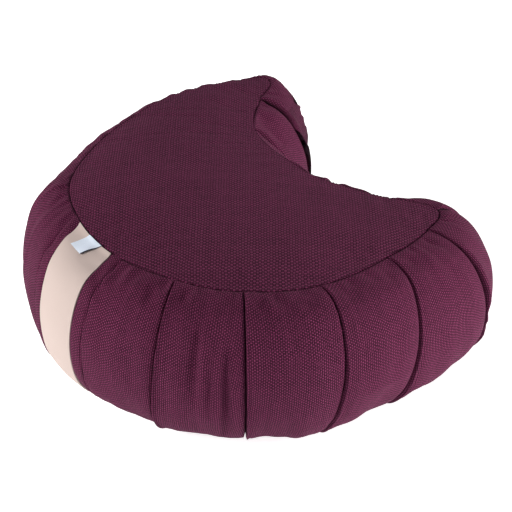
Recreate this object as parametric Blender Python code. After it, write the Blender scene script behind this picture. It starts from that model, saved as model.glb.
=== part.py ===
"""A crescent zafu: a filled, pleated meditation cushion with a bare folded tag.

Units are metres, +Z is up. The rounded side faces -Y and the two horns point to +Y,
with the bay for the heels between them. The cushion stands on z = 0.
"""
import math

import bpy
from mathutils import Vector
from mathutils.geometry import tessellate_polygon

# ---- driving dimensions ----
MM = 0.001
FLOOR_SEAM_Z = 0.007        # height of the lower seam, where the base panel's rim curls up
RIDGE_Z = 0.163             # height of the top panel's crown in the middle
HORN_DROP = 0.013           # how much lower the crown lies at the tips of the horns
SHEET = 0.002               # thickness of the canvas panels
STRIP_SHEET = 0.0014        # thickness of the pale inset strip
GAP = 0.0009                # clearance between pieces that are sewn face to face
RIM_INSET = 0.0012          # the panels stop this far inside the seam line
TUCK_DEPTH = 0.0055         # depth of the knife pleats
TUCK_WIDTH = 0.05           # width of a tuck's slope, as a share of the stretch between pleats
PUFF = 0.0045               # how far the band swells between two pleats
FULLEST = 0.47              # height of the widest line, as a share of the band's height
LOW_POWER = 0.88            # how square the band is below, 1 for an ellipse
LOW_FROM, LOW_TO = 0.35, 0.65    # where, down the band, its upper shape gives way to that one
RELIEF_POWER = 0.5          # how fast the pleats' relief grows away from the seams
RUN_POWER = 0.6             # how soon a leaning pleat leaves the lower seam
CROWN_POWER = 2.2           # how steeply the top panel rises from its seam
TAG_THICK = 0.0012          # the folded tag, both layers
TAG_FROM, TAG_TO = 0.25, 0.72    # the tag's place across the pale strip
SPINE_CENTRE = (0.0, 0.110)      # the half ellipse along the crown's ridge
SPINE_SIZE = (0.120, 0.140)

# Seen from above, the upper seam is a round arc with a bay between two horns. All in mm.
ARC_MIDDLE = (0, 35)
ARC_RADIUS = 170
BAY_MIDDLE = -10            # the bay's middle, across the cushion
BAY_FLOOR = 71              # where the bay reaches furthest into the cushion
BAY_HALF = 135              # half the bay's width between the horns
BAY_DEPTH = 72
SEAM_HEIGHT = 150

# One row for each pleat, anticlockwise from the pale strip. place is a bearing round the arc in
# degrees from -Y, or mm across from the bay's middle. The rest is in mm but shoulder: out is how
# far the seam strays outwards there, rise how much higher it lies, bulge how far the band stands
# out half way down, slant how far the pleat shifts along there, lean how far it runs on below,
# and a high shoulder makes the band fall steeply from the upper seam before it swells.
COLUMNS = ("name", "line", "place", "out", "rise", "bulge", "slant", "lean", "shoulder")
SEAM_ROWS = (
    ("strip_right", "round", 9, 0, 0, 45, 0, 0, 1.15),
    ("front_1", "round", 32, 4, 2, 42, 9, -18, 1.15),
    ("front_2", "round", 51, 4, 0, 40, 3, 0, 1.15),
    ("front_3", "round", 72, 1, -1, 43, 16, -26, 1.15),
    ("front_4", "round", 96, -7, -1, 43, 14, -36, 1.15),
    ("horn_outer_right", "round", 117, -6, -3, 51, 0, 39, 1.0),
    ("horn_inner_right", "bay", 136, -8, -3, 46, 0, 0, 1.2),
    ("bay_1", "bay", 100, 0, 0, 34, 0, 0, 1.8),
    ("bay_2", "bay", 48, 0, 3, 34, 0, 0, 1.5),
    ("bay_3", "bay", 0, 0, 5, 36, 0, 0, 2.0),
    ("bay_4", "bay", -58, -6, 5, 38, 0, 0, 2.0),
    ("bay_5", "bay", -104, 3, 4, 45, 0, 0, 1.3),
    ("horn_inner_left", "bay", -131, 7, 4, 34, 0, 0, 1.2),
    ("horn_outer_left", "round", -119, 12, 3, 42, 0, 0, 2.2),
    ("back_1", "round", -98, 4, 2, 42, 0, 0, 2.2),
    ("back_2", "round", -75, -7, 0, 39, 0, 0, 1.8),
    ("back_3", "round", -52, -8, 0, 34, 0, 0, 1.6),
    ("back_4", "round", -31, -2, 1, 42, 0, 0, 1.15),
    ("strip_left", "round", -10, -2, 1, 43, 21, 4, 1.15),
)


def plan_point(row):
    """A row's place on the upper seam, seen from above, in mm."""
    if row["line"] == "bay":
        depth = BAY_DEPTH * (row["place"] / BAY_HALF) ** 2
        return Vector((BAY_MIDDLE + row["place"], BAY_FLOOR + depth + row["out"]))
    turn, reach = math.radians(row["place"]), ARC_RADIUS + row["out"]
    return Vector((ARC_MIDDLE[0] + reach * math.sin(turn), ARC_MIDDLE[1] - reach * math.cos(turn)))


ROWS = [dict(zip(COLUMNS, row)) for row in SEAM_ROWS]
for table_row in ROWS:
    table_row["plan"] = plan_point(table_row)
    table_row["height"] = SEAM_HEIGHT + table_row["rise"]
STRIP_SEGMENT = len(ROWS) - 1     # the stretch between strip_left and strip_right

# where the meshes have their points: along each stretch of the band, down the band from seam
# to seam, and in over the two panels from the seam to the ridge
SEGMENT_STEPS = (0.0, 0.06, 0.22, 0.5, 0.78, 0.94)
BAND_LEVELS = (0.0, 0.012, 0.08, 0.16, 0.25, 0.34, 0.43, 0.52, 0.61, 0.70, 0.79, 0.88, 0.96, 1.0)
CROWN_RINGS = (0.0, 0.10, 0.30, 0.55, 0.80)
BASE_RINGS = (0.0, 0.12, 0.30)

COLOURS = {
    "plum": (0.083, 0.022, 0.048, 1.0),
    "cream": (0.76, 0.66, 0.60, 1.0),
    "white": (0.74, 0.80, 0.86, 1.0),
}


def clear_scene():
    for item in list(bpy.data.objects):
        bpy.data.objects.remove(item, do_unlink=True)


def material(name, colour, roughness):
    made = bpy.data.materials.new(name)
    made.use_nodes = True
    shader = made.node_tree.nodes["Principled BSDF"]
    shader.inputs["Base Color"].default_value = colour
    shader.inputs["Roughness"].default_value = roughness
    shader.inputs["Metallic"].default_value = 0.0
    return made


# ---- the seam line ----

def smooth(x):
    """Eases from 0 to 1 as x does, and stays there beyond."""
    x = min(max(x, 0.0), 1.0)
    return x * x * (3 - 2 * x)


def row_value(segment, u, column):
    """A column of the table, in its own units, eased from one pleat to the next."""
    near = ROWS[segment % len(ROWS)][column]
    far = ROWS[(segment + 1) % len(ROWS)][column]
    return near + (far - near) * smooth(u)


def seam_point(segment, u):
    """The seam line as a smooth closed curve through the rows, at u along one segment."""
    if u >= 1.0:
        segment, u = segment + 1, u - 1.0
    before, near, far, after = (ROWS[(segment + k) % len(ROWS)]["plan"] for k in (-1, 0, 1, 2))
    span = (far - near).length
    start = (far - before).normalized() * span
    end = (after - near).normalized() * span
    u2, u3 = u * u, u * u * u
    point = ((2 * u3 - 3 * u2 + 1) * near + (u3 - 2 * u2 + u) * start
             + (3 * u2 - 2 * u3) * far + (u3 - u2) * end)
    return point * MM


def outward(segment, u):
    """The level direction away from the cushion at a place on the seam."""
    step = 0.04
    if u - step < 0.0:
        behind = seam_point(segment - 1, 1.0 + u - step)
    else:
        behind = seam_point(segment, u - step)
    ahead = seam_point(segment, u + step)
    along = (ahead - behind).normalized()
    return Vector((along.y, -along.x))


def spine_point(seam):
    """Where the ridge of the crown lies for a point of the seam, with its height."""
    east = (seam.x - SPINE_CENTRE[0]) / SPINE_SIZE[0]
    south = (SPINE_CENTRE[1] - seam.y) / SPINE_SIZE[1]
    turn = math.atan2(east, max(south, 0.0))
    return Vector((SPINE_CENTRE[0] + SPINE_SIZE[0] * math.sin(turn),
                   SPINE_CENTRE[1] - SPINE_SIZE[1] * math.cos(turn),
                   RIDGE_Z - HORN_DROP * (turn / math.radians(90)) ** 2))


# ---- the surfaces ----

def pleat_relief(u):
    """How far the band stands out at u between two pleats: swollen, and tucked at both ends."""
    swell = PUFF * math.sqrt(max(0.0, 4 * u * (1 - u)))
    tuck = TUCK_DEPTH * max(0.0, 1 - min(u, 1 - u) / TUCK_WIDTH)
    return swell - tuck


def band_point(segment, u, down, lift=0.0, pleated=True):
    """A point of the side band. down runs from the upper seam, 0, to the lower one, 1.

    lift raises the point off the band's surface.
    """
    top = row_value(segment, u, "height") * MM - SHEET - GAP
    bottom = FLOOR_SEAM_Z
    angle = math.pi * down
    sine = max(math.sin(angle), 0.0)
    height = bottom + (top - bottom) * (0.5 + 0.5 * math.cos(angle))
    share = (height - bottom) / (top - bottom)
    height += (top - bottom) * (FULLEST - 0.5) * 4 * share * (1 - share) * sine
    low = smooth((down - LOW_FROM) / (LOW_TO - LOW_FROM))
    power = row_value(segment, u, "shoulder") * (1 - low) + LOW_POWER * low
    stand = row_value(segment, u, "bulge") * MM * sine ** power
    if pleated:
        stand += pleat_relief(u) * sine ** RELIEF_POWER
    run = row_value(segment, u, "slant") * sine
    run += row_value(segment, u, "lean") * down * sine ** RUN_POWER
    side = outward(segment, u)
    stand += lift * sine
    height += lift * math.cos(angle)
    place = seam_point(segment, u) + side * stand + Vector((-side.y, side.x)) * run * MM
    return Vector((place.x, place.y, height))


def crown_point(segment, u, inward, lift):
    """A point over the top panel. inward runs from the seam, 0, to the ridge, 1."""
    seam = seam_point(segment, u)
    ridge = spine_point(seam)
    place = seam.lerp(ridge.xy, inward)
    seam_height = row_value(segment, u, "height") * MM
    height = seam_height + (ridge.z - seam_height) * (1 - (1 - inward) ** CROWN_POWER) + lift
    return Vector((place.x, place.y, height))


def base_point(segment, u, inward, lift):
    """A point over the base panel, which curls up to the lower seam at its rim."""
    seam = seam_point(segment, u)
    place = seam.lerp(spine_point(seam).xy, inward)
    rise = max(0.0, 1 - inward / BASE_RINGS[-1]) ** 2
    height = (FLOOR_SEAM_Z - SHEET - GAP) * rise + lift
    return Vector((place.x, place.y, height))


# ---- closed meshes ----

def stations():
    for segment in range(len(ROWS)):
        for u in SEGMENT_STEPS:
            yield segment, u


def mesh_object(name, points, faces, finish):
    mesh = bpy.data.meshes.new(name)
    mesh.from_pydata([tuple(p) for p in points], [], faces)
    mesh.update()
    made = bpy.data.objects.new(name, mesh)
    made.data.materials.append(finish)
    bpy.context.collection.objects.link(made)
    return made


def cap_faces(ring, first, facing):
    """Triangles over a loop seen from above. facing is 1 for up and -1 for down."""
    faces = []
    for a, b, c in tessellate_polygon([[point.xy.to_3d() for point in ring]]):
        turn = (ring[b].xy - ring[a].xy).cross(ring[c].xy - ring[a].xy)
        if turn * facing > 0:
            faces.append((first + a, first + b, first + c))
        else:
            faces.append((first + a, first + c, first + b))
    return faces


def closed_rings(name, rings, widening, finish):
    """Joins closed loops of equal length, and caps the first, facing up, and the last.

    The first loops, as many as widening, run outwards and the rest inwards. Both are split
    along the same diagonals, so that two pieces made from one surface keep their gap.
    """
    size = len(rings[0])
    points = [point for ring in rings for point in ring]
    faces = []
    for level in range(len(rings) - 1):
        for i in range(size):
            j = (i + 1) % size
            low, high = level * size, (level + 1) * size
            if level < widening:
                faces.append((low + i, high + i, low + j))
                faces.append((high + i, high + j, low + j))
            else:
                faces.append((low + i, high + i, high + j))
                faces.append((low + i, high + j, low + j))
    last = len(points) - size
    faces += cap_faces(rings[0], 0, 1)
    faces += cap_faces(rings[-1], last, -1)
    return mesh_object(name, points, faces, finish)


def inset_ring(maker, inward, lift):
    """One closed loop over a panel, at a share of the way from the seam to the ridge."""
    return [maker(segment, u, inward, lift) for segment, u in stations()]


def panel_rings(maker, shares, lift):
    """The loops over one face of a panel, the first drawn in from the seam line."""
    rings = [inset_ring(maker, inward, lift) for inward in shares]
    rings[0] = [rim + (inner - rim).normalized() * RIM_INSET
                for rim, inner in zip(rings[0], rings[1])]
    return rings


def build_body(finish):
    """The filled body: the pleated band with the fill that carries both panels."""
    rings = [inset_ring(crown_point, inward, -SHEET - GAP) for inward in reversed(CROWN_RINGS[1:])]
    for down in BAND_LEVELS:
        ring = []
        for segment, u in stations():
            recessed = segment == STRIP_SEGMENT and u > 0 and 0 < down < 1
            lift = -(STRIP_SHEET + GAP) if recessed else 0.0
            ring.append(band_point(segment, u, down, lift, pleated=not recessed))
        rings.append(ring)
    rings += [inset_ring(base_point, inward, SHEET + GAP) for inward in BASE_RINGS[1:]]
    return closed_rings("pleated_band_and_fill", rings, len(CROWN_RINGS) - 1, finish)


def build_top_panel(finish):
    over = panel_rings(crown_point, CROWN_RINGS, 0.0)
    under = panel_rings(crown_point, CROWN_RINGS, -SHEET)
    return closed_rings("top_panel", over[::-1] + under, len(over) - 1, finish)


def build_base_panel(finish):
    over = panel_rings(base_point, BASE_RINGS, SHEET)
    under = panel_rings(base_point, BASE_RINGS, 0.0)
    return closed_rings("base_panel", over[::-1] + under, len(over) - 1, finish)


def sheet_patch(name, across, along, maker, thickness, finish):
    """A thin closed sheet: maker(a, b, lift) gives its place, thickness its second face."""
    points, faces = [], []
    columns, rows = len(across), len(along)
    for lift in (0.0, thickness):
        for b in along:
            for a in across:
                points.append(maker(a, b, lift))
    layer = columns * rows
    for r in range(rows - 1):
        for c in range(columns - 1):
            i = r * columns + c
            for corners in ((i, i + columns, i + columns + 1), (i, i + columns + 1, i + 1)):
                faces.append(corners[::-1])
                faces.append(tuple(layer + k for k in corners))
    rim = ([c for c in range(columns)]
           + [r * columns + columns - 1 for r in range(1, rows)]
           + [(rows - 1) * columns + c for c in range(columns - 2, -1, -1)]
           + [r * columns for r in range(rows - 2, 0, -1)])
    for k, here in enumerate(rim):
        there = rim[(k + 1) % len(rim)]
        faces.append((here, layer + here, layer + there, there))
    return mesh_object(name, points, faces, finish)


def build_strip(finish):
    """The pale strip let into the middle of the band, from seam to seam."""
    def place(across, down, lift):
        return band_point(STRIP_SEGMENT, across, down, lift - STRIP_SHEET, pleated=False)
    return sheet_patch("inset_strip", SEGMENT_STEPS[1:], BAND_LEVELS[1:-1], place, STRIP_SHEET,
                       finish)


def build_tag(finish):
    """The folded tag, caught in the upper seam and lying on the pale strip."""
    def place(across, down, lift):
        return band_point(STRIP_SEGMENT, across, down, lift + GAP, pleated=False)
    across = [TAG_FROM + (TAG_TO - TAG_FROM) * k / 3 for k in range(4)]
    return sheet_patch("folded_tag", across, BAND_LEVELS[1:4], place, TAG_THICK, finish)


def centre_on_origin(objects):
    """Moves the meshes so that the whole cushion's box is centred over the origin."""
    points = [v.co for item in objects for v in item.data.vertices]
    middle_x = (min(p.x for p in points) + max(p.x for p in points)) / 2
    middle_y = (min(p.y for p in points) + max(p.y for p in points)) / 2
    for item in objects:
        for v in item.data.vertices:
            v.co.x -= middle_x
            v.co.y -= middle_y


def main():
    clear_scene()
    plum = material("plum_canvas", COLOURS["plum"], 0.85)
    plum_top = material("plum_canvas_top", COLOURS["plum"], 0.85)
    plum_base = material("plum_canvas_base", COLOURS["plum"], 0.85)
    cream = material("cream_twill", COLOURS["cream"], 0.8)
    white = material("white_ribbon", COLOURS["white"], 0.7)
    pieces = [build_body(plum), build_top_panel(plum_top), build_base_panel(plum_base),
              build_strip(cream), build_tag(white)]
    centre_on_origin(pieces)


main()
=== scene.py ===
import math

import bpy
import numpy as np
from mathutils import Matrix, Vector
from mathutils.geometry import delaunay_2d_cdt


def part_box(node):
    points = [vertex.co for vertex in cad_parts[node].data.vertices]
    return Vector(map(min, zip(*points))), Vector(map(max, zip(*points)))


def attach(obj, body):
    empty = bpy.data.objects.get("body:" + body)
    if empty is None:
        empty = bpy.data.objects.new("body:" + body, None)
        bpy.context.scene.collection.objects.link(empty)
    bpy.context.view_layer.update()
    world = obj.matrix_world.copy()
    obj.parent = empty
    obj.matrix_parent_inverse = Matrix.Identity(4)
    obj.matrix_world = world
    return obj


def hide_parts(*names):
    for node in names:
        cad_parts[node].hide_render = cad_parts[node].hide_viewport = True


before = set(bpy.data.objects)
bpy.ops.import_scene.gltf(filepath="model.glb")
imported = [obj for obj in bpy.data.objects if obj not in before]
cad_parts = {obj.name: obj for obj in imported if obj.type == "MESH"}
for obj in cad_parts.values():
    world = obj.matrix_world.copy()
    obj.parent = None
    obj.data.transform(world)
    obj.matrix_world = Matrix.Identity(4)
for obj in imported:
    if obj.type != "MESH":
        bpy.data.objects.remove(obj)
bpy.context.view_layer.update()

# A crescent meditation cushion: a pleated band round a filled body, a top and a base panel sewn
# to it, a pale strip let into the band and a small bare tag. Metres, +Z up, rounded side at -Y.

scene = bpy.context.scene
mm = 0.001
halfDown = 0.45                # where the band is measured along its length

bpy.ops.object.select_all(action="DESELECT")

view = {
    "target": (0.004, 0.0285, 0.0695),
    "elevation": 34,         # degrees above the floor
    "azimuth": 55,           # degrees from -Y towards +X
    "distance": 1.6,
    "lens": 123,
    "sensor": 36,
}


def standAt(name, data, target, azimuth, elevation, distance):
    # puts a camera or a lamp somewhere round the target, facing it
    a, e = math.radians(azimuth), math.radians(elevation)
    away = Vector((math.sin(a) * math.cos(e), -math.cos(a) * math.cos(e), math.sin(e)))
    made = bpy.data.objects.new(name, data)
    made.location = Vector(target) + away * distance
    made.rotation_euler = away.to_track_quat("Z", "Y").to_euler()
    scene.collection.objects.link(made)
    return made


def setInputs(node, values):
    for name, value in values.items():
        node.inputs[name].default_value = value


def addCamera():
    data = bpy.data.cameras.new("camera")
    data.sensor_width, data.lens, data.clip_end = view["sensor"], view["lens"], 20
    scene.camera = standAt("camera", data, view["target"], view["azimuth"], view["elevation"],
                           view["distance"])


studio = {
    "floor": {"Base Color": (0.86, 0.86, 0.86, 1), "Roughness": 0.9, "Specular IOR Level": 0.1,
              "Emission Color": (1, 1, 1, 1), "Emission Strength": 0.80},
    "sky": {"Color": (0.115, 0.115, 0.140, 1), "Strength": 1.0},
    "lampTarget": (0, 0, 0.05),
    "lampColour": (1.0, 0.965, 0.93),
    # name, azimuth, elevation, distance, width, height, watts
    "lamps": (
        ("lampRight", 138, 9, 1.9, 1.3, 0.5, 44),
        ("lampLeft", -18, 27, 1.9, 1.3, 0.5, 31),
        ("lampTop", 250, 34, 2.2, 1.6, 1.0, 15),
    ),
}


def addStudio():
    bpy.ops.mesh.primitive_grid_add(x_subdivisions=8, y_subdivisions=8, size=14)
    floor = bpy.context.object
    floor.name = floor.data.name = "floor"
    paint = bpy.data.materials.new("floorPaint")
    paint.use_nodes = True
    setInputs(paint.node_tree.nodes["Principled BSDF"], studio["floor"])
    floor.data.materials.append(paint)
    world = bpy.data.worlds.new("studio")
    world.use_nodes = True
    setInputs(world.node_tree.nodes["Background"], studio["sky"])
    scene.world = world
    for name, azimuth, elevation, distance, width, height, watts in studio["lamps"]:
        lamp = bpy.data.lights.new(name, "AREA")
        lamp.shape = "RECTANGLE"
        lamp.size, lamp.size_y = width, height
        lamp.energy, lamp.color = watts, studio["lampColour"]
        standAt(name, lamp, studio["lampTarget"], azimuth, elevation, distance)
    scene.view_settings.view_transform = "Standard"
    print("studio: camera, floor and", len(studio["lamps"]), "lamps")


# Seen from above the upper seam is a round arc with a bay between two horns, in mm.
plan = {
    "middle": (0, 35),         # of the round arc
    "radius": 170,
    "bayMiddle": -10,
    "bayFloor": 71,            # where the bay reaches furthest into the cushion
    "bayHalf": 135,            # half the bay's width between the horns
    "bayDepth": 72,
    "seam": 150,               # height of the upper seam
    "stations": 2000,          # points read along the seam to centre it
}

# One row for each pleat, anticlockwise from the pale strip. Place is a bearing round the arc in
# degrees, or mm across from the bay's middle. The rest is in mm: out is how far the seam strays
# outwards there, rise how much higher it lies, bulge how far the band stands out half way down,
# slant how far the pleat shifts along there and lean how far it runs on below. A high shoulder
# makes the band fall steeply from the upper seam before it swells.
rowColumns = ("name", "line", "place", "out", "rise", "bulge", "slant", "lean", "shoulder")
seamRows = (
    ("stripRight", "round", 9, 0, 0, 45, 0, 0, 1.15),
    ("front1", "round", 32, 4, 2, 42, 9, -18, 1.15),
    ("front2", "round", 51, 4, 0, 40, 3, 0, 1.15),
    ("front3", "round", 72, 1, -1, 43, 16, -26, 1.15),
    ("front4", "round", 96, -7, -1, 43, 14, -36, 1.15),
    ("hornOuterRight", "round", 117, -6, -3, 51, 0, 39, 1.0),
    ("hornInnerRight", "bay", 136, -8, -3, 46, 0, 0, 1.2),
    ("bay1", "bay", 100, 0, 0, 34, 0, 0, 1.8),
    ("bay2", "bay", 48, 0, 3, 34, 0, 0, 1.5),
    ("bay3", "bay", 0, 0, 5, 36, 0, 0, 2.0),
    ("bay4", "bay", -58, -6, 5, 38, 0, 0, 2.0),
    ("bay5", "bay", -104, 3, 4, 45, 0, 0, 1.3),
    ("hornInnerLeft", "bay", -131, 7, 4, 34, 0, 0, 1.2),
    ("hornOuterLeft", "round", -119, 12, 3, 42, 0, 0, 2.2),
    ("back1", "round", -98, 4, 2, 42, 0, 0, 2.2),
    ("back2", "round", -75, -7, 0, 39, 0, 0, 1.8),
    ("back3", "round", -52, -8, 0, 34, 0, 0, 1.6),
    ("back4", "round", -31, -2, 1, 42, 0, 0, 1.15),
    ("stripLeft", "round", -10, -2, 1, 43, 21, 4, 1.15),
)
rowCount = len(seamRows)
rowNames = [row[0] for row in seamRows]


def planPoint(line, place, out):
    # a row's place seen from above, in mm
    if line == "bay":
        x = plan["bayMiddle"] + place
        return x, plan["bayFloor"] + plan["bayDepth"] * (place / plan["bayHalf"]) ** 2 + out
    turn, reach = math.radians(place), plan["radius"] + out
    return plan["middle"][0] + reach * math.sin(turn), plan["middle"][1] - reach * math.cos(turn)


def readColumns():
    table = {name: [row[i] for row in seamRows] for i, name in enumerate(rowColumns)}
    points = [planPoint(*row[1:4]) for row in seamRows]
    read = {name: np.array(table[name]) * mm for name in ("bulge", "slant", "lean")}
    read["z"] = (plan["seam"] + np.array(table["rise"])) * mm
    read["x"], read["y"] = np.array(points).T * mm
    read["shoulder"] = np.array(table["shoulder"])
    return read


columns = readColumns()

shape = {
    "floorSeam": 7 * mm,       # height of the lower seam
    "ridge": 163 * mm,         # height of the crown in the middle
    "puff": 4.0 * mm,          # how far the band swells between pleats before the simulation
    "fullest": 0.47,           # height of the widest line, as a share of the band
    "lowPower": 0.88,          # how square the band is below, 1 for an ellipse
    "reliefPower": 0.5,
    "runPower": 0.6,           # how soon a leaning pleat leaves the lower seam
}


def splitRow(s):
    # the row before a place on the seam, and how far past it the place is, 0 to 1
    k = np.floor(s).astype(int)
    return k % rowCount, s - k


def eased(name, s):
    # a column of the table, eased from row to row
    k, u = splitRow(s)
    v = columns[name]
    return v[k] + (v[(k + 1) % rowCount] - v[k]) * u * u * (3 - 2 * u)


def unit(v):
    return v / np.maximum(np.linalg.norm(v, axis=-1, keepdims=True), 1e-12)


def smoothstep(x):
    x = np.clip(x, 0, 1)
    return x * x * (3 - 2 * x)


def stretchShare(s):
    # how far a place is between the pleats at its sides; the pale strip has none at its edges
    k, u = splitRow(s)
    thirds = {rowCount - 2: (0.0, 0.36), rowCount - 1: (0.36, 0.66), 0: (0.66, 1.0)}
    for row, (start, end) in thirds.items():
        u = np.where(k == row, start + (end - start) * u, u)
    return u


def seamAt(s):
    # the seam from above, a smooth closed curve through the rows
    k, u = splitRow(s)
    u = u[..., None]
    rows = np.stack([columns["x"], columns["y"]], 1)
    before, near, far, after = (rows[(k + i) % rowCount] for i in (-1, 0, 1, 2))
    span = np.linalg.norm(far - near, axis=-1, keepdims=True)
    start, end = unit(far - before) * span, unit(after - near) * span
    return ((2 * u**3 - 3 * u**2 + 1) * near + (u**3 - 2 * u**2 + u) * start
            + (3 * u**2 - 2 * u**3) * far + (u**3 - u**2) * end)


def centreOnFrame():
    # moves the plan so that its seam lies over the rim of the frame's top panel
    ring = seamAt(np.linspace(0, rowCount, plan["stations"], endpoint=False))
    low, high = (np.array(corner)[:2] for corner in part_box("top_panel"))
    for axis, name in enumerate(("x", "y")):
        middle = (ring[:, axis].min() + ring[:, axis].max()) / 2
        columns[name] = columns[name] + (low[axis] + high[axis]) / 2 - middle


centreOnFrame()


def outwardAt(s):
    # the level direction away from the cushion
    step = 0.04
    along = unit(seamAt(s + step) - seamAt(s - step))
    return np.stack([along[..., 1], -along[..., 0]], -1)


def bandAt(s, down, puff=1.0):
    # a point of the band, with down from the upper seam, 0, to the lower one, 1
    s, down = np.broadcast_arrays(np.asarray(s, float), down)
    top, bottom = eased("z", s), shape["floorSeam"]
    angle = np.pi * down
    sine = np.maximum(np.sin(angle), 0)
    height = bottom + (top - bottom) * (0.5 + 0.5 * np.cos(angle))
    share = (height - bottom) / (top - bottom)
    height = height + (top - bottom) * (shape["fullest"] - 0.5) * 4 * share * (1 - share) * sine
    swell = shape["puff"] * np.sqrt(np.maximum(4 * stretchShare(s) * (1 - stretchShare(s)), 0))
    low = smoothstep((down - 0.35) / 0.3)
    power = eased("shoulder", s) * (1 - low) + shape["lowPower"] * low
    stand = eased("bulge", s) * sine**power
    stand = stand + puff * swell * sine**shape["reliefPower"]
    run = eased("slant", s) * sine + eased("lean", s) * down * sine**shape["runPower"]
    side = outwardAt(s)
    along = np.stack([-side[..., 1], side[..., 0]], -1)
    flat = seamAt(s) + side * stand[..., None] + along * run[..., None]
    return np.concatenate([flat, height[..., None]], -1)


def bandNormal(s, down):
    # away from the fill, across the band's own slope
    step = 0.004
    along = bandAt(s + 0.02, down, puff=0) - bandAt(s - 0.02, down, puff=0)
    below = (bandAt(s, np.clip(down + step, 0, 1), puff=0)
             - bandAt(s, np.clip(down - step, 0, 1), puff=0))
    return unit(np.cross(below, along))


def stretchLength(row):
    # mm along the band from one row to the next
    start, end = bandAt(np.array((row + 0.001, row + 0.999)), halfDown, puff=0)
    return np.linalg.norm(end - start) / mm


def runAlong(points, axis=0):
    # the distance run along one axis of a grid of points, from 0
    steps = np.linalg.norm(np.diff(points, axis=axis), axis=-1)
    return np.cumsum(np.insert(steps, 0, 0, axis=axis), axis)


def newObject(name, points, faces):
    mesh = bpy.data.meshes.new(name)
    mesh.from_pydata([tuple(p) for p in points], [], faces)
    made = bpy.data.objects.new(name, mesh)
    scene.collection.objects.link(made)
    return made


def newPiece(name, points, faces, uv=None):
    made = newObject(name, points, faces)
    mesh = made.data
    mesh.validate()
    mesh.update()
    if uv is not None:
        layer = mesh.uv_layers.new(name="cloth")
        corner = np.zeros(len(mesh.loops), int)
        mesh.loops.foreach_get("vertex_index", corner)
        layer.data.foreach_set("uv", np.asarray(uv)[corner].ravel())
    mesh.shade_smooth()
    return made


def gridFaces(rows, across, closed=False):
    # quads over rows of points; closed joins the last point of each row to the first
    faces = []
    for r in range(rows - 1):
        for c in range(across if closed else across - 1):
            a, b = r * across + c, r * across + (c + 1) % across
            faces.append((a, a + across, b + across, b))
    return faces


def loopFaces(loop, step):
    # quads that join a closed loop of points to the loop that lies step further on
    loop = list(loop)
    return [(a, b, b + step, a + step) for a, b in zip(loop, loop[1:] + loop[:1])]


def shifted(faces, by, flip=False):
    return [tuple(i + by for i in (face[::-1] if flip else face)) for face in faces]


def facesUp(points, face):
    a, b, c = (points[i] for i in face[:3])
    return (b[0] - a[0]) * (c[1] - a[1]) - (b[1] - a[1]) * (c[0] - a[0]) > 0


def inside(points, ring):
    # which points lie within a closed line, seen from above
    x, y = points[:, 0:1], points[:, 1:2]
    x0, y0 = ring[:, 0], ring[:, 1]
    x1, y1 = np.roll(x0, -1), np.roll(y0, -1)
    cross = (y0 > y) != (y1 > y)
    slope = (x1 - x0) / np.where(y1 == y0, 1e-12, y1 - y0)
    return (cross & (x < x0 + slope * (y - y0))).sum(1) % 2 == 1


def reachOf(points, ring):
    # how far each point is from the nearest point of a line
    near = np.full(len(points), 9.0)
    for i in range(0, len(ring), 64):
        part = ring[None, i:i + 64] - points[:, None]
        near = np.minimum(near, np.linalg.norm(part, axis=2).min(1))
    return near


def fillRing(ring, spacing):
    # triangles over a closed line: the line's own points first, then a grid within it
    low, high = ring.min(0), ring.max(0)
    rows = np.arange(low[1], high[1], spacing * 0.866)
    grid = []
    for i, y in enumerate(rows):
        x = np.arange(low[0] + (i % 2) * spacing / 2, high[0], spacing)
        grid.append(np.stack([x, np.full(len(x), y)], 1))
    grid = np.concatenate(grid)
    grid = grid[inside(grid, ring)]
    grid = grid[reachOf(grid, ring) > spacing * 0.6]
    points = np.concatenate([ring, grid])
    out = delaunay_2d_cdt([Vector(p) for p in points], [], [list(range(len(ring)))], 1, 1e-7)
    triangles, came = out[2], out[3]
    return points, [tuple(came[i][0] for i in face) for face in triangles]


def neighbourTable(count, faces):
    # for each point, its neighbours padded with the point itself, and how many are real
    sets = [set() for _ in range(count)]
    for face in faces:
        for i, a in enumerate(face):
            b = face[(i + 1) % len(face)]
            sets[a].add(b)
            sets[b].add(a)
    most = max(len(found) for found in sets)
    table = np.arange(count)[:, None].repeat(most, 1)
    for i, found in enumerate(sets):
        table[i, :len(found)] = sorted(found)
    return table, np.array([len(found) for found in sets])


def relax(values, table, degree, free, rounds, push=0.0):
    # lets values settle to the mean of their neighbours, plus a push
    own = table.shape[1] - degree
    v = values.copy()
    for _ in range(rounds):
        mean = (v[table].sum(1) - own * v) / np.maximum(degree, 1)
        v[free] = mean[free] + push
    return v


clothFrames = 20
clothSettings = {
    "quality": 6, "mass": 0.25, "use_pressure": True, "bending_stiffness": 0.3,
    "tension_stiffness": 15.0, "compression_stiffness": 15.0, "shear_stiffness": 7.5,
    "tension_damping": 8, "compression_damping": 8, "shear_damping": 6, "air_damping": 2,
}


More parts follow.
